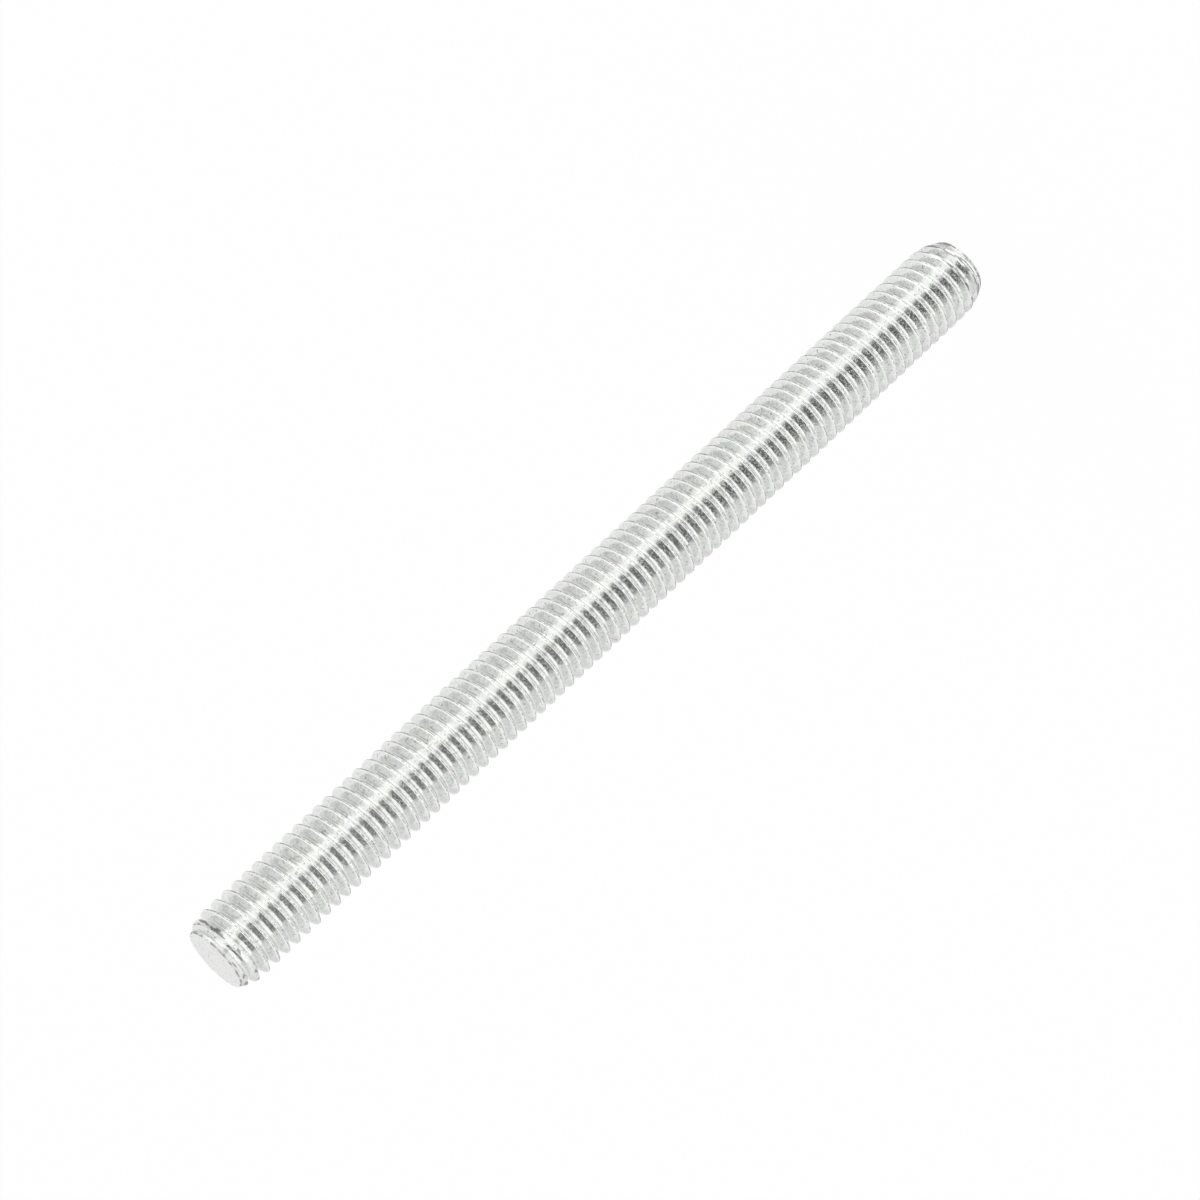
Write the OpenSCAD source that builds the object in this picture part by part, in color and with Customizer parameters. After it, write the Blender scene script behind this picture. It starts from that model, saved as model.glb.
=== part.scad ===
// Threaded rod: one bar of steel with a metric thread rolled along its whole length.
// It stands on one end. The origin is the centre of that end face, and +Z runs along the bar.
// The thread's section is true: 60 degree flanks, flat crests and round roots, at the true pitch.
// Each turn is closed on itself as a ring, where the real one climbs as a right-hand helix.

/* [Rod] */
// Length from one end face to the other
rod_length = 100; // [10:1:200]

/* [Thread] */
// Nominal diameter of the thread
thread_d = 8; // [6:0.5:12]
// Pitch, from one crest to the next
pitch = 1.25; // [0.7:0.05:2]
// How far the whole thread lies inside its nominal form, across the bar
thread_allowance = 0.1; // [0:0.01:0.2]

/* [Ends] */
// How far the end faces lie inside the roots of the thread, across the bar
end_face_inset = 0.16; // [0:0.02:0.4]
// Angle of the end chamfers, measured from the end face
chamfer_angle = 45; // [30:5:60]

/* [Hidden] */
$fn = 64;

// Height of the sharp 60 degree triangle that the thread is cut from
triangle_h = pitch * sqrt(3) / 2;
// The crests are that triangle less an eighth of its height, and the roots a sixth-height arc
crest_r = (thread_d - thread_allowance) / 2;
vee_tip_r = crest_r - triangle_h * 7 / 8;
root_round_r = triangle_h / 6;
root_r = vee_tip_r + root_round_r;
// The arc of a root meets the two flanks at these distances from its centre
root_arc_r = root_r + root_round_r;
flank_start_r = root_arc_r - root_round_r * sin(30);
flank_start_z = root_round_r * cos(30);
// The grooves are cut from just outside the bar, so that no skin is left over them
mouth_r = crest_r + triangle_h / 8;
mouth_half_z = (mouth_r - vee_tip_r) * tan(30);

end_face_r = root_r - end_face_inset / 2;
chamfer_h = (crest_r - end_face_r) * tan(chamfer_angle);
groove_count = ceil(rod_length / pitch);

// Half of the bar's section before it is threaded, with the axis on the left
module blank_outline() {
    polygon([
        [0, 0],
        [end_face_r, 0],
        [crest_r, chamfer_h],
        [crest_r, rod_length - chamfer_h],
        [end_face_r, rod_length],
        [0, rod_length],
    ]);
}

// One groove between two crests, centred on its root
module groove_outline() {
    polygon([
        [flank_start_r, -flank_start_z],
        [mouth_r, -mouth_half_z],
        [mouth_r, mouth_half_z],
        [flank_start_r, flank_start_z],
    ]);
    translate([root_arc_r, 0]) circle(r = root_round_r);
}

// The whole bar, turned from its half section
module threaded_rod() {
    color([0.80, 0.82, 0.81])
        rotate_extrude()
            difference() {
                blank_outline();
                for (turn = [0 : groove_count - 1])
                    translate([0, (turn + 0.5) * pitch]) groove_outline();
            }
}

threaded_rod();
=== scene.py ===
"""A zinc-plated steel rod with a metric thread along its whole length, standing on one end."""

import math

import bmesh
import bpy
import numpy as np
from mathutils import Matrix, Vector, noise


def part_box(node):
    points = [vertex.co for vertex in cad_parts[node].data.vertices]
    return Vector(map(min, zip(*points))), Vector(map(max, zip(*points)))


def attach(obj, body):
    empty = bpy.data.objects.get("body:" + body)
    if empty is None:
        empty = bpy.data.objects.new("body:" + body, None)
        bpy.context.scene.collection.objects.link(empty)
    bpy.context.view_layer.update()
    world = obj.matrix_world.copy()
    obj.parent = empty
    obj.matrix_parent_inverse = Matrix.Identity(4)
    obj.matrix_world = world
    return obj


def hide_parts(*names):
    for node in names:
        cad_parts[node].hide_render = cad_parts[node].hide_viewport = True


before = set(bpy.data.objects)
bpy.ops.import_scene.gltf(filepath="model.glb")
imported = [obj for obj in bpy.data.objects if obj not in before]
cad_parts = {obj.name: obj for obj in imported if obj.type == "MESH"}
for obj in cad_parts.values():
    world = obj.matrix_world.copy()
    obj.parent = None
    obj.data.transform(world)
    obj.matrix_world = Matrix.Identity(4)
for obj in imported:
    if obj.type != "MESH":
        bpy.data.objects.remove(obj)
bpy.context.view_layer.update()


# ---------------------------------------------------------------------------------------------
# The rod: one bar of mild steel. Its thread is rolled, not cut, so the metal is pressed up from
# a round root to a crest that closes with a faint seam. The ends are then turned to a rounded
# lead, and bright zinc is plated over everything.
# ---------------------------------------------------------------------------------------------
ROD = "threaded_rod"
rod_low, rod_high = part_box(ROD)
rod_length = rod_high.z - rod_low.z
bar_r = (rod_high.x - rod_low.x) / 2

PITCH = 0.00125
STEPS_PER_TURN = 72
SPARE_TURNS = 2  # past each end of the rod, where the turning of the ends cuts them off
START_ANGLE = math.radians(-92)
CREST_ROOM = 0.000028  # the crests stay this far inside the bar's box, so that no bump leaves it
CREST_ROUND = 0.00013
CREST_ANGLES = (9, 24, 42, 60)  # round the crest, as far as the flank
ROOT_ANGLES = (240, 220, 200, 180)  # round the root, from the flank to its lowest point
SEAM_DEPTH = 0.000012

sharp_height = PITCH * math.sqrt(3) / 2
root_round = sharp_height / 6
crest_r = bar_r - CREST_ROOM
sharp_crest_r = crest_r + CREST_ROUND
root_r = sharp_crest_r - sharp_height + root_round


def arc_points(centre, radius, angles):
    """Points (height, radius) on an arc, with angles in degrees from straight outward."""
    turns = [math.radians(angle) for angle in angles]
    return [(centre[0] + radius * math.sin(a), centre[1] + radius * math.cos(a)) for a in turns]


def ridge_section():
    """One ridge of the thread as (height, radius), from its lower groove to its upper one."""
    upper = arc_points((0.0, crest_r - CREST_ROUND), CREST_ROUND, CREST_ANGLES)
    upper += arc_points((PITCH / 2, root_r + root_round), root_round, ROOT_ANGLES)
    lower = [(-height, radius) for height, radius in reversed(upper)]
    return lower + [(0.0, crest_r - SEAM_DEPTH)] + upper[:-1]


def helix_grid():
    """The thread's surface as a grid of points: along the helix, then across one ridge."""
    height, radius = np.array(ridge_section()).T
    turns = rod_length / PITCH + 2 * SPARE_TURNS
    step = np.arange(math.ceil(turns) * STEPS_PER_TURN)
    angle = START_ANGLE + 2 * math.pi * step / STEPS_PER_TURN
    z = rod_low.z + PITCH * (step[:, None] / STEPS_PER_TURN - SPARE_TURNS) + height
    return np.broadcast_to(angle[:, None], z.shape), np.broadcast_to(radius, z.shape).copy(), z


def in_space(angle, radius, z):
    """The grid as a plain list of points."""
    return np.stack([radius * np.cos(angle), radius * np.sin(angle), z], -1).reshape(-1, 3)


def ripple(points, size, seed):
    """Smooth random heights, from about -1 to 1, with lumps `size` metres across."""
    shift = Vector((seed, 2.3 * seed, 0))  # each seed reads the noise at a place of its own
    return np.array([noise.noise(Vector(point) / size + shift) for point in points])


# The rolls leave slow waves in the surface, and a crest that is uneven from one bead to the next.
WAVE_SIZE, WAVE_DEPTH = 0.0014, 0.000006
LUMP_SIZE, LUMP_DEPTH = 0.0005, 0.0000025
CREST_SIDE = 3  # grid points on each side of the seam that belong to the crest
CREST_JITTER = 0.000005
SEAM_CUT = 0.00005
SEAM_SHAPE = (0.6, 1.0, 0.6)  # the share of that cut at each of the seam's three grid points
SEAM_WANDER = 0.000016

draw = np.random.default_rng(31)
angle, radius, z = helix_grid()
rows, columns = z.shape
seam = columns // 2
points = in_space(angle, radius, z)
radius += WAVE_DEPTH * ripple(points, WAVE_SIZE, 1.0).reshape(z.shape)
radius += LUMP_DEPTH * ripple(points, LUMP_SIZE, 2.0).reshape(z.shape)
crest_points = slice(seam - CREST_SIDE, seam + CREST_SIDE + 1)
seam_points = slice(seam - 1, seam + 2)
radius[:, crest_points] += CREST_JITTER * draw.uniform(-1, 1, (rows, 2 * CREST_SIDE + 1))
radius[:, seam_points] -= SEAM_CUT * draw.random((rows, 1)) ** 2 * SEAM_SHAPE
z[:, seam_points] += SEAM_WANDER * draw.uniform(-1, 1, (rows, 1))

# Knocks in store and in transit: flats and small cuts on the crests, about half near the ends.
NICKS = 110
NICKS_NEAR_ENDS = 0.45  # this share is placed near an end, and the others anywhere
NICKS_AT_HEAD = 0.6  # of those near an end, this share is near the upper one
NICK_REACH = 0.007
NICK_HALF_LENGTH = (0.00018, 0.0006)
NICK_HALF_WIDTH = (0.00009, 0.0002)
NICK_DEPTH = (0.00002, 0.00008)
NICK_OFF_CENTRE = 0.00012
NICK_PUSH = 0.4  # how far the metal moves sideways, as a share of the depth

arc_step = 2 * math.pi * crest_r / STEPS_PER_TURN
crest_z = z[:, seam].copy()
for nick in range(NICKS):
    place = draw.uniform(rod_low.z, rod_high.z)
    near_end = draw.random() < NICKS_NEAR_ENDS
    if near_end:
        inward = NICK_REACH * draw.random()
        place = rod_high.z - inward if draw.random() < NICKS_AT_HEAD else rod_low.z + inward
    row = int(np.searchsorted(crest_z[::STEPS_PER_TURN], place)) * STEPS_PER_TURN
    row += int(draw.integers(STEPS_PER_TURN))
    half_length = draw.uniform(*NICK_HALF_LENGTH)
    half_width = draw.uniform(*NICK_HALF_WIDTH)
    depth = draw.uniform(*NICK_DEPTH)
    off_centre = draw.uniform(-NICK_OFF_CENTRE, NICK_OFF_CENTRE)
    along = (np.arange(rows)[:, None] - row) * arc_step / half_length
    across = (z - crest_z[:, None] - off_centre) / half_width
    bell = np.exp(-(along**2) - across**2)
    radius -= depth * bell
    z += NICK_PUSH * depth * bell * np.sign(off_centre)


def helix_faces(rows, columns):
    """Faces of the helix: across each ridge, from each ridge to the next, and two end fans."""
    index = np.arange(rows * columns).reshape(rows, columns)
    turn = STEPS_PER_TURN
    across = np.stack([index[:-1, :-1], index[1:, :-1], index[1:, 1:], index[:-1, 1:]], -1)
    low, high = index[: rows - turn, -1], index[turn:, 0]
    between = np.stack([low[:-1], low[1:], high[1:], high[:-1]], -1)
    faces = across.reshape(-1, 4).tolist() + between.tolist()
    lower_rim = [*index[: turn + 1, 0], *index[0, :0:-1]]
    upper_rim = [*index[-1, :], *index[-2 : -turn - 2 : -1, -1]]
    for rim, centre in ((lower_rim, rows * columns), (upper_rim, rows * columns + 1)):
        faces += [[rim[i], rim[i - 1], centre] for i in range(len(rim))]
    return faces


def mesh_from(name, vertices, faces):
    """A mesh from plain lists or arrays of corners and faces."""
    mesh = bpy.data.meshes.new(name)
    corners = [tuple(map(float, vertex)) for vertex in vertices]
    mesh.from_pydata(corners, [], [tuple(map(int, face)) for face in faces])
    mesh.validate()
    return mesh


def object_from(mesh):
    """An object in the scene that holds this mesh."""
    made = bpy.data.objects.new(mesh.name, mesh)
    bpy.context.scene.collection.objects.link(made)
    return made


fan_centres = np.array([[0, 0, z.min()], [0, 0, z.max()]])
surface_points = np.vstack([in_space(angle, radius, z), fan_centres])
rolled_bar = mesh_from("threaded_rod_visual", surface_points, helix_faces(rows, columns))
rod = object_from(rolled_bar)

# The turned ends: a flat face, then a lead that rounds up to the full thread over a few turns.
HEAD_FACE_R, HEAD_LEAD, HEAD_CURVE = 0.00312, 0.0026, 2.0
FOOT_FACE_R, FOOT_LEAD, FOOT_CURVE = 0.00300, 0.0040, 2.5
LEAD_RINGS = 12
RING_SPREAD = 1.6  # over 1, the rings crowd towards the end face
BLANK_SIDES = 96
BLANK_PROUD = 0.0002  # how far the blank's side lies outside the bar
BLANK_STEP = 0.0001  # how far past the lead that side starts
TOOL_MARK = 0.000008
TOOL_GROOVE = 0.000022
FACE_RAGGED = 0.000035


def lead_outline(face_r, lead, curve):
    """(radius, depth) along a turned end, close together at the face and wider apart inward."""
    full_r = crest_r + CREST_ROUND / 4  # just clear of the crests
    outline = []
    for ring in range(LEAD_RINGS):
        share = (ring / (LEAD_RINGS - 1)) ** RING_SPREAD
        outline.append((face_r + (full_r - face_r) * (1 - (1 - share) ** curve), lead * share))
    return outline + [(bar_r + BLANK_PROUD, lead + BLANK_STEP)]


def turned_blank():
    """The bar as the lathe leaves it: its ends are the rod's, its side lies outside the thread."""
    foot = lead_outline(FOOT_FACE_R, FOOT_LEAD, FOOT_CURVE)
    head = lead_outline(HEAD_FACE_R, HEAD_LEAD, HEAD_CURVE)
    outline = [(r, rod_low.z + depth, depth) for r, depth in foot]
    outline += [(r, rod_high.z - depth, depth) for r, depth in reversed(head)]
    vertices = []
    for r, height, depth in outline:
        turned = r < bar_r
        wear = FACE_RAGGED if depth == 0 else TOOL_MARK
        groove = TOOL_GROOVE * draw.uniform(-1, 1)
        for side in range(BLANK_SIDES):
            a = 2 * math.pi * side / BLANK_SIDES
            here = r + (groove + wear * draw.uniform(-1, 1) if turned else 0.0)
            vertices.append((here * math.cos(a), here * math.sin(a), height))
    faces = []
    for ring in range(len(outline) - 1):
        for side in range(BLANK_SIDES):
            low, high = ring * BLANK_SIDES, (ring + 1) * BLANK_SIDES
            following = (side + 1) % BLANK_SIDES
            faces.append((low + side, low + following, high + following, high + side))
    last = (len(outline) - 1) * BLANK_SIDES
    faces.append(tuple(range(BLANK_SIDES - 1, -1, -1)))
    faces.append(tuple(range(last, last + BLANK_SIDES)))
    return mesh_from("blank", vertices, faces)


thread_zinc = bpy.data.materials.new("zinc_on_rolled_thread")
end_zinc = bpy.data.materials.new("zinc_on_turned_end")
rod.data.materials.append(thread_zinc)
blank = object_from(turned_blank())
blank.data.materials.append(end_zinc)
turning = rod.modifiers.new("turned_ends", "BOOLEAN")
turning.operation = "INTERSECT"
turning.solver = "MANIFOLD"
turning.material_mode = "TRANSFER"
turning.object = blank
bpy.context.view_layer.update()
turned = bpy.data.meshes.new_from_object(rod.evaluated_get(bpy.context.evaluated_depsgraph_get()))
rod.modifiers.clear()
rod.data = turned
bpy.data.objects.remove(blank)


def split_many_sided(mesh):
    """Cut the many-sided faces that turning leaves into triangles, less those that lie doubled."""
    shape = bmesh.new()
    shape.from_mesh(mesh)
    bmesh.ops.triangulate(shape, faces=[face for face in shape.faces if len(face.verts) > 4])
    same_corners = {}
    for face in shape.faces:
        same_corners.setdefault(frozenset(face.verts), []).append(face)
    doubled = [face for alike in same_corners.values() if len(alike) > 1 for face in alike]
    bmesh.ops.delete(shape, geom=doubled, context="FACES")
    shape.to_mesh(mesh)
    shape.free()


def read_all(collection, name, width=1, kind=np.float64):
    """One property of every item in a mesh's list, as an array."""
    values = np.zeros(len(collection) * width, dtype=kind)
    collection.foreach_get(name, values)
    return values.reshape(-1, width) if width > 1 else values


def shade_by_area(mesh):
    """Flat flanks and smooth rounds: a corner's normal is that of its own surface, by area."""
    faces = mesh.polygons
    areas = read_all(faces, "area")
    normals = read_all(faces, "normal", 3)
    surface = read_all(faces, "material_index", kind=np.int32)  # 0 the thread, 1 a turned end
    level = np.abs(normals[:, 2]) > 0.999
    surface[level & (surface > 0)] = 2  # the flat of an end face
    surfaces = 3
    counts = read_all(faces, "loop_total", kind=np.int32)
    face_of_corner = np.repeat(np.arange(len(faces)), counts)
    vertex = read_all(mesh.loops, "vertex_index", kind=np.int32)
    key = vertex * surfaces + surface[face_of_corner]
    total = np.zeros((len(mesh.vertices) * surfaces, 3))
    np.add.at(total, key, (areas[:, None] * normals)[face_of_corner])
    corner = total[key]
    corner /= np.linalg.norm(corner, axis=1, keepdims=True)
    mesh.shade_smooth()
    mesh.normals_split_custom_set([tuple(n) for n in corner])


split_many_sided(turned)
shade_by_area(turned)

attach(rod, "root")
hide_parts(ROD)


def add(tree, kind, inputs=None, **settings):
    """A new shader node, with its settings, and each input as a value or a socket to link."""
    made = tree.nodes.new("ShaderNode" + kind)
    for name, value in settings.items():
        setattr(made, name, value)
    for name, value in (inputs or {}).items():
        if isinstance(value, bpy.types.NodeSocket):
            tree.links.new(value, made.inputs[name])
        else:
            made.inputs[name].default_value = value
    return made


def work_out(tree, operation, *values):
    """The result of a Math node on these values or sockets."""
    return add(tree, "Math", dict(enumerate(values)), operation=operation).outputs[0]


def ramp(tree, value, low, high, start=0.0, end=1.0):
    """A smooth step: `start` where value is under low, `end` where it is over high."""
    inputs = {"Value": value, "From Min": low, "From Max": high, "To Min": start, "To Max": end}
    return add(tree, "MapRange", inputs, interpolation_type="SMOOTHSTEP").outputs[0]


def blend_colours(tree, share, first, second, way="MIX"):
    """A mix of two colours: a Mix node's colours are its seventh and eighth inputs."""
    inputs = {0: share, 6: first, 7: second}
    return add(tree, "Mix", inputs, data_type="RGBA", blend_type=way).outputs[2]


def speckle(tree, place, size, detail):
    """Noise from 0 to 1, mostly near 0.5, with grains about `size` metres across."""
    inputs = {"Vector": place, "Scale": 1 / size, "Detail": detail}
    return add(tree, "TexNoise", inputs).outputs[0]


def group_of(name, inputs, outputs):
    """An empty node group with named sockets, each input given as (name, kind, starting value)."""
    group = bpy.data.node_groups.new(name, "ShaderNodeTree")
    for label, kind, start in inputs:
        socket = group.interface.new_socket(label, in_out="INPUT", socket_type="NodeSocket" + kind)
        if start is not None:
            socket.default_value = start
    for label, kind in outputs:
        group.interface.new_socket(label, in_out="OUTPUT", socket_type="NodeSocket" + kind)
    entry = group.nodes.new("NodeGroupInput").outputs
    leave = group.nodes.new("NodeGroupOutput").inputs
    return group, entry, leave


# Each pair of levels is the noise at which an effect of the plating starts, and is full.
CLOUD_LEVELS = (0.36, 0.64)
GRAIN_LEVELS = (0.40, 0.60)
PIT_LEVELS = (0.66, 0.73)
GRAIN_SHADE = 0.88  # how light the metal between two crystals is, against the crystals
BARE_LEVEL, COVER_REACH = 0.75, 0.4  # the crystals' level with no cover, and its fall at full cover
CRYSTAL_SLOPE = 0.06
PIT_SIZE = 1.4  # a pit's width, in crystals
PIT_DEPTH = 1.5  # a pit's depth, in crystal heights


def zinc_plating():
    """Bright zinc: cloudy in patches, with fine crystals that stand proud and a few dark pits."""
    group, entry, leave = group_of(
        "zinc_plating",
        [("Position", "Vector", None), ("Clear", "Color", None), ("Cloudy", "Color", None),
         ("Pit", "Color", None), ("Cloud size", "Float", 0.002), ("Crystal size", "Float", 0.0002),
         ("Crystal cover", "Float", 0.3), ("Pitting", "Float", 0.5),
         ("Smooth", "Float", 0.1), ("Rough", "Float", 0.25)],
        [("Color", "Color"), ("Roughness", "Float"), ("Height", "Float")],
    )

    def mottle(size, detail, shift):
        moved = add(group, "VectorMath", {0: entry["Position"], 1: (shift, 0, 0)}).outputs[0]
        finer = work_out(group, "DIVIDE", 1.0, size)
        return add(group, "TexNoise", {"Vector": moved, "Scale": finer, "Detail": detail}).outputs[0]

    clouds = ramp(group, mottle(entry["Cloud size"], detail=3.0, shift=0.0), *CLOUD_LEVELS)
    grain = mottle(entry["Crystal size"], detail=2.0, shift=0.3)
    cover = work_out(group, "MULTIPLY", entry["Crystal cover"], COVER_REACH)
    full = work_out(group, "SUBTRACT", BARE_LEVEL, cover)
    crystals = ramp(group, grain, work_out(group, "SUBTRACT", full, CRYSTAL_SLOPE), full)
    pit_size = work_out(group, "MULTIPLY", entry["Crystal size"], PIT_SIZE)
    pits = ramp(group, mottle(pit_size, detail=1.0, shift=0.6), *PIT_LEVELS)
    pits = work_out(group, "MULTIPLY", pits, entry["Pitting"])

    colour = blend_colours(group, clouds, entry["Clear"], entry["Cloudy"])
    shade = ramp(group, grain, *GRAIN_LEVELS, GRAIN_SHADE, 1.0)
    grey = add(group, "CombineColor", {"Red": shade, "Green": shade, "Blue": shade}).outputs[0]
    colour = blend_colours(group, 1.0, colour, grey, "MULTIPLY")
    colour = blend_colours(group, pits, colour, entry["Pit"])
    group.links.new(colour, leave["Color"])

    dull = work_out(group, "MAXIMUM", clouds, pits)
    roughness = add(group, "Mix", {0: dull, "A": entry["Smooth"], "B": entry["Rough"]}).outputs[0]
    group.links.new(roughness, leave["Roughness"])
    sunk = work_out(group, "MULTIPLY", pits, PIT_DEPTH)
    group.links.new(work_out(group, "SUBTRACT", crystals, sunk), leave["Height"])
    return group


plating = zinc_plating()
CRYSTAL_HEIGHT = 0.000006


def plated(metal, values):
    """Place the plating in a material: its tree, place and zinc, and the shader's own inputs."""
    metal.use_nodes = True
    tree = metal.node_tree
    place = add(tree, "TexCoord").outputs["Object"]
    zinc = add(tree, "Group", {"Position": place, **values}, node_tree=plating).outputs
    shader = tree.nodes["Principled BSDF"].inputs
    shader["Metallic"].default_value = 1.0
    return tree, place, zinc, shader


def from_axis(tree, place):
    """The way from the rod's axis straight out to this place, and its length."""
    out = add(tree, "VectorMath", {0: place, 1: (1, 1, 0)}, operation="MULTIPLY").outputs[0]
    return out, add(tree, "VectorMath", {0: out}, operation="LENGTH").outputs["Value"]


# On the thread the zinc is bright, with painted shade in the roots.
# The crests are rubbed clean, and painted lighter as a highlight.
CREST_BAND = (0.0002, 0.00004)  # how far under the crest the rubbing and painted highlight start, and are full
ROOT_BAND = 0.0003
# the crests' colour, lighter than the zinc as wear and a painted highlight, its share and roughness
RUBBED_AND_HIGHLIGHT, RUBBED_AND_HIGHLIGHT_SHARE, RUBBED_ROUGH = (0.975, 0.99, 0.965, 1), 0.8, 0.22
# painted shade for the thread's roots, and its share
ROOT_SHADE, ROOT_SHADE_SHARE = (0.86, 0.865, 0.83, 1), 0.25
SEAM_COLOUR = (0.24, 0.24, 0.22, 1)
SEAM_EDGE = (0.012, 0.036)  # the seam line's half width, in pitches, before and after it fades
SEAM_BREAK_SIZE, SEAM_BREAK_LEVELS = 0.00025, (0.42, 0.56)

tree, place, zinc, shader = plated(thread_zinc, {
    "Clear": (0.892, 0.92, 0.884, 1), "Cloudy": (0.88, 0.885, 0.882, 1), "Pit": (0.30, 0.31, 0.29, 1),
    "Cloud size": 0.0022, "Crystal size": 0.00022, "Crystal cover": 0.25, "Pitting": 0.75,
    "Smooth": 0.07, "Rough": 0.13,
})
reach = from_axis(tree, place)[1]
near_crest = ramp(tree, reach, crest_r - CREST_BAND[0], crest_r - CREST_BAND[1])
deep = ramp(tree, reach, root_r, root_r + ROOT_BAND, 1.0, 0.0)
# painted shade: the thread darkened towards its roots
painted_root_shade = work_out(tree, "MULTIPLY", deep, ROOT_SHADE_SHARE)
# painted highlight on the crests, along with the rubbing that wear leaves there
rubbed_and_highlight = work_out(tree, "MULTIPLY", near_crest, RUBBED_AND_HIGHLIGHT_SHARE)

# the seam follows the helix: its height in pitches, less its turn around the axis, stays the same
split = add(tree, "SeparateXYZ", {0: place}).outputs
around = work_out(tree, "DIVIDE", work_out(tree, "ARCTAN2", split["Y"], split["X"]), 2 * math.pi)
climb = work_out(tree, "DIVIDE", split["Z"], PITCH)
seam_phase = rod_low.z / PITCH - START_ANGLE / (2 * math.pi)
past_seam = work_out(tree, "SUBTRACT", work_out(tree, "SUBTRACT", climb, around), seam_phase)
from_seam = work_out(tree, "ABSOLUTE", work_out(tree, "WRAP", past_seam, 0.5, -0.5))
seam_line = ramp(tree, from_seam, *SEAM_EDGE, 1.0, 0.0)
broken = ramp(tree, speckle(tree, place, SEAM_BREAK_SIZE, detail=2.0), *SEAM_BREAK_LEVELS)
seam_line = work_out(tree, "MULTIPLY", seam_line, broken)

# painted shade into the roots
colour = blend_colours(tree, painted_root_shade, zinc["Color"], ROOT_SHADE)
# the crests' rubbing and painted highlight
colour = blend_colours(tree, rubbed_and_highlight, colour, RUBBED_AND_HIGHLIGHT)
colour = blend_colours(tree, seam_line, colour, SEAM_COLOUR)
tree.links.new(colour, shader["Base Color"])
rubbed_rough = work_out(tree, "MULTIPLY", near_crest, RUBBED_ROUGH)
tree.links.new(work_out(tree, "MAXIMUM", zinc["Roughness"], rubbed_rough), shader["Roughness"])
relief = add(tree, "Bump", {"Height": zinc["Height"], "Distance": CRYSTAL_HEIGHT, "Strength": 1.0})
tree.links.new(relief.outputs[0], shader["Normal"])

# On the turned ends the zinc lies over saw and tool marks, and is duller.
MARK_COLOUR, MARK_SHARE = (0.22, 0.22, 0.21, 1), 0.8
RIM_R = HEAD_FACE_R + 0.00002
RIM_EDGE = (0.00003, 0.00009)  # the rim line's half width, before and after it fades
RIM_PATCH_SIZE, RIM_PATCH_LEVELS, RIM_FAINTEST = 0.0007, (0.40, 0.55), 0.2
STREAK_SIZE, STREAK_LEVELS = 0.0001, (0.53, 0.60)
STREAK_TURN = 0.0003  # the way round is read on a circle this small, which draws streaks out
STREAKS_FADE = 0.0001  # outside the end face, the streaks come in over this width
SAW_MARK = 0.0000025
SAW_PITCH = 0.00016
BAND_STEP = math.pi / 10  # from one band to the next in a wave texture of scale 1

tree, place, zinc, shader = plated(end_zinc, {
    "Clear": (0.94, 0.96, 0.935, 1), "Cloudy": (0.92, 0.92, 0.92, 1), "Pit": (0.34, 0.34, 0.33, 1),
    "Cloud size": 0.0012, "Crystal size": 0.00016, "Crystal cover": 0.55, "Pitting": 0.6,
    "Smooth": 0.22, "Rough": 0.36,
})
outward, reach = from_axis(tree, place)
from_rim = work_out(tree, "ABSOLUTE", work_out(tree, "SUBTRACT", reach, RIM_R))
patchy = speckle(tree, place, RIM_PATCH_SIZE, detail=2.0)
patchy = ramp(tree, patchy, *RIM_PATCH_LEVELS, RIM_FAINTEST, 1.0)
rim = work_out(tree, "MULTIPLY", ramp(tree, from_rim, *RIM_EDGE, 1.0, 0.0), patchy)

outward = add(tree, "VectorMath", {0: outward}, operation="NORMALIZE").outputs[0]
outward = add(tree, "VectorMath", {0: outward, "Scale": STREAK_TURN}, operation="SCALE").outputs[0]
side = add(tree, "SeparateXYZ", {0: outward}).outputs
streak_place = add(tree, "CombineXYZ", {"X": side["X"], "Y": side["Y"], "Z": reach}).outputs[0]
streaks = ramp(tree, speckle(tree, streak_place, STREAK_SIZE, detail=1.0), *STREAK_LEVELS)
on_lead = ramp(tree, reach, HEAD_FACE_R, HEAD_FACE_R + STREAKS_FADE)
streaks = work_out(tree, "MULTIPLY", streaks, on_lead)

marks = work_out(tree, "MULTIPLY", work_out(tree, "MAXIMUM", rim, streaks), MARK_SHARE)
tree.links.new(blend_colours(tree, marks, zinc["Color"], MARK_COLOUR), shader["Base Color"])
tree.links.new(zinc["Roughness"], shader["Roughness"])
saw = add(tree, "TexWave", {
    "Vector": place, "Scale": BAND_STEP / SAW_PITCH, "Distortion": 2.5, "Detail": 2.0,
})
relief = add(tree, "Bump", {"Height": zinc["Height"], "Distance": CRYSTAL_HEIGHT, "Strength": 1.0})
sawn = add(tree, "Bump", {
    "Height": saw.outputs["Fac"], "Distance": SAW_MARK, "Strength": 1.0, "Normal": relief.outputs[0],
})
tree.links.new(sawn.outputs[0], shader["Normal"])


# ---------------------------------------------------------------------------------------------
# The floor: plain white paper, which keeps a faint shadow of the rod. The metal doesn't mirror
# it and it casts no shadow, so that the tent's low cards light the rod from under the floor.
# ---------------------------------------------------------------------------------------------
FLOOR_REACH = 3
PAPER = (0.97, 0.97, 0.97, 1)
PAPER_GLOW = 0.96  # the share of plain white, against paper that takes a shadow

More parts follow.
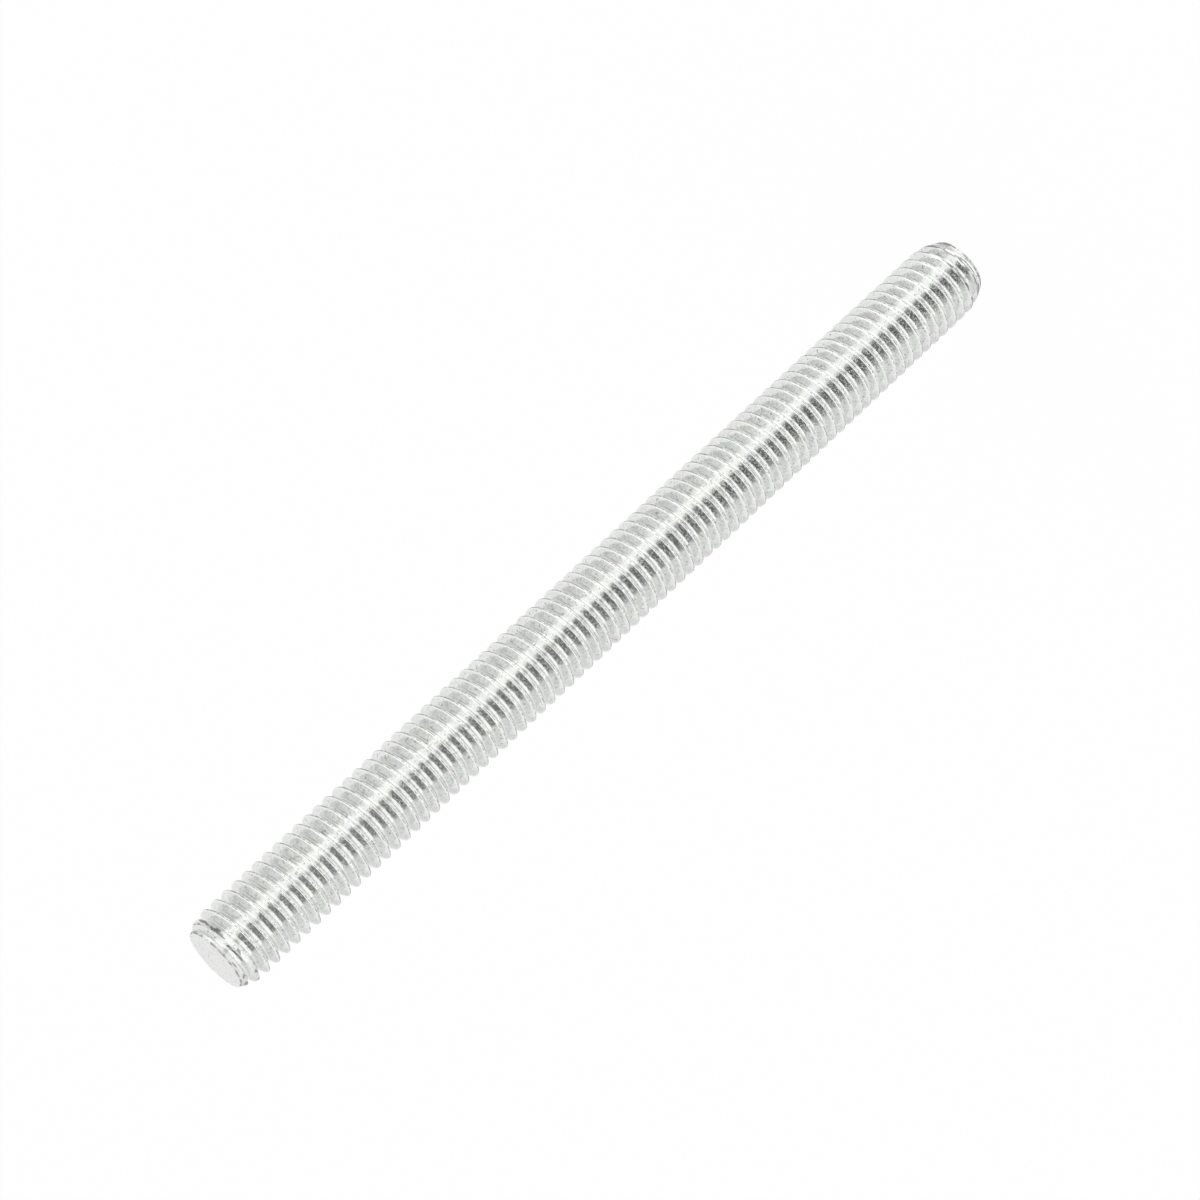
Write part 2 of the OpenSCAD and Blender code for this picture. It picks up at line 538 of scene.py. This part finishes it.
corners = [(-1, -1), (1, -1), (1, 1), (-1, 1)]
floor_corners = [(FLOOR_REACH * x, FLOOR_REACH * y, rod_low.z) for x, y in corners]
floor = object_from(mesh_from("floor", floor_corners, [(0, 1, 2, 3)]))
floor.visible_glossy = False
floor.visible_shadow = False
paper = bpy.data.materials.new("white_floor")
floor.data.materials.append(paper)
paper.use_nodes = True
tree = paper.node_tree
tree.nodes.clear()
rays = add(tree, "LightPath").outputs
mirrored = work_out(tree, "MAXIMUM", rays["Is Glossy Ray"], rays["Is Transmission Ray"])
seen = work_out(tree, "MAXIMUM", rays["Is Camera Ray"], mirrored)
share = work_out(tree, "MULTIPLY", seen, PAPER_GLOW)
matte = add(tree, "BsdfDiffuse", {"Color": PAPER})
glow = add(tree, "Emission")
look = add(tree, "MixShader", {0: share, 1: matte.outputs[0], 2: glow.outputs[0]})
add(tree, "OutputMaterial", {"Surface": look.outputs[0]})


# ---------------------------------------------------------------------------------------------
# The light: a round white tent with softboxes and dark cards on its inside, which the metal
# mirrors. The camera looks through the tent, and sees plain white beyond it.
# ---------------------------------------------------------------------------------------------
TENT_RADIUS = 2.9
TENT_LIGHT = 0.91
# name: left and right edge, lower and upper edge in degrees, soft edge, light
CARDS = (
    ("side wall", -175, -99, 0, 22, 12, 0.77),
    ("overhead softbox", -68, -8, -19, 15, 9, 1.45),
    ("strip softbox", 4, 47, -52, 26, 15, 1.32),
    ("gap between softboxes", -13, 4, -27, -3, 7, 0.70),
    ("lower flag", -68, 15, -52, -23, 18, 0.28),
    ("flag core", -40, 4, -37, -25, 10, 0.15),
    ("dim card", 53, 119, -14, 5, 11, 0.75),
    ("dark card", 47, 101, 6, 35, 11, 0.53),
    ("dark card core", 53, 84, 11, 25, 9, 0.28),
    ("wide card", 84, 138, 9, 25, 10, 0.60),
    ("upper softbox", 58, 112, 42, 78, 11, 1.45),
    ("low softbox", 50, 118, -82, -44, 12, 1.6),
    ("low fill", -25, 36, -95, -56, 12, 1.3),
    ("back flag", 107, 231, -64, -18, 19, 0.38),
)


def studio_card():
    """A soft-edged card in the tent: it brings the light from its direction to its own level."""
    values = ("Azimuth", "Elevation", "Light", "Middle azimuth", "Half width",
              "Middle elevation", "Half height", "Soft edge", "Own light")
    group, entry, leave = group_of(
        "studio_card", [(name, "Float", None) for name in values], [("Light", "Float")])
    cover = 1.0
    for turn, middle, half in (("Azimuth", "Middle azimuth", "Half width"),
                               ("Elevation", "Middle elevation", "Half height")):
        away = work_out(group, "SUBTRACT", entry[turn], entry[middle])
        if turn == "Azimuth":
            away = work_out(group, "WRAP", away, 180.0, -180.0)
        beyond = work_out(group, "SUBTRACT", work_out(group, "ABSOLUTE", away), entry[half])
        beyond = work_out(group, "DIVIDE", beyond, entry["Soft edge"])
        cover = work_out(group, "MULTIPLY", ramp(group, beyond, -0.5, 0.5, 1.0, 0.0), cover)
    light = add(group, "Mix", {0: cover, "A": entry["Light"], "B": entry["Own light"]}).outputs[0]
    group.links.new(light, leave["Light"])
    return group


tent_shape = bmesh.new()
bmesh.ops.create_uvsphere(tent_shape, u_segments=48, v_segments=24, radius=TENT_RADIUS)
tent_mesh = bpy.data.meshes.new("light_tent")
tent_shape.to_mesh(tent_mesh)
tent_shape.free()
tent = object_from(tent_mesh)
tent.location = (0, 0, rod_low.z + rod_length / 2)
tent.visible_camera = False
lit_cloth = bpy.data.materials.new("lit_tent_cloth")
lit_cloth.cycles.emission_sampling = "NONE"
tent_mesh.materials.append(lit_cloth)
lit_cloth.use_nodes = True
tree = lit_cloth.node_tree
tree.nodes.clear()
toward = add(tree, "VectorMath", {0: add(tree, "TexCoord").outputs["Object"]}, operation="NORMALIZE")
toward = add(tree, "SeparateXYZ", {0: toward.outputs[0]}).outputs
front = work_out(tree, "MULTIPLY", toward["Y"], -1.0)
azimuth = work_out(tree, "DEGREES", work_out(tree, "ARCTAN2", toward["X"], front))
elevation = work_out(tree, "DEGREES", work_out(tree, "ARCSINE", toward["Z"]))
card_group = studio_card()
level = TENT_LIGHT
for name, left, right, low, high, edge, light in CARDS:
    values = {
        "Azimuth": azimuth, "Elevation": elevation, "Light": level,
        "Middle azimuth": (left + right) / 2, "Half width": (right - left) / 2,
        "Middle elevation": (low + high) / 2, "Half height": (high - low) / 2,
        "Soft edge": edge, "Own light": light,
    }
    card = add(tree, "Group", values, node_tree=card_group, name=name)
    level = card.outputs["Light"]
lit = add(tree, "Emission", {"Color": level})
add(tree, "OutputMaterial", {"Surface": lit.outputs[0]})

world = bpy.data.worlds.new("white_room")
bpy.context.scene.world = world
world.use_nodes = True
world.cycles.sampling_method = "NONE"
white = world.node_tree.nodes["Background"].inputs
white["Color"].default_value = (1, 1, 1, 1)
white["Strength"].default_value = 1.0


# ---------------------------------------------------------------------------------------------
# The camera: a long lens that looks a little down on the rod. It is turned on its side, so that
# the standing rod lies across the picture.
# ---------------------------------------------------------------------------------------------
CAMERA_DISTANCE = 0.344
CAMERA_ELEVATION = math.radians(21.8)
CAMERA_ROLL = math.radians(133.04)
SENSOR_WIDTH, LENS = 36, 112.5
NEAREST = 0.01
AIM_ASIDE, AIM_ABOVE = 0.00005, 0.00075  # the camera looks just past the middle of the rod

camera_data = bpy.data.cameras.new("camera")
camera_data.sensor_width = SENSOR_WIDTH
camera_data.lens = LENS
camera_data.clip_start = NEAREST
camera = bpy.data.objects.new("camera", camera_data)
bpy.context.scene.collection.objects.link(camera)
middle = Vector((0, 0, rod_low.z + rod_length / 2))
aim = middle + Vector((AIM_ASIDE, 0, AIM_ABOVE))
back = Vector((0, -math.cos(CAMERA_ELEVATION), math.sin(CAMERA_ELEVATION)))
camera.location = middle + back * CAMERA_DISTANCE
looking = (aim - camera.location).to_track_quat("-Z", "Y").to_matrix()
rolled = looking @ Matrix.Rotation(-CAMERA_ROLL, 3, "Z")
camera.matrix_world = Matrix.Translation(camera.location) @ rolled.to_4x4()
bpy.context.scene.camera = camera

bpy.context.scene.view_settings.view_transform = "Standard"
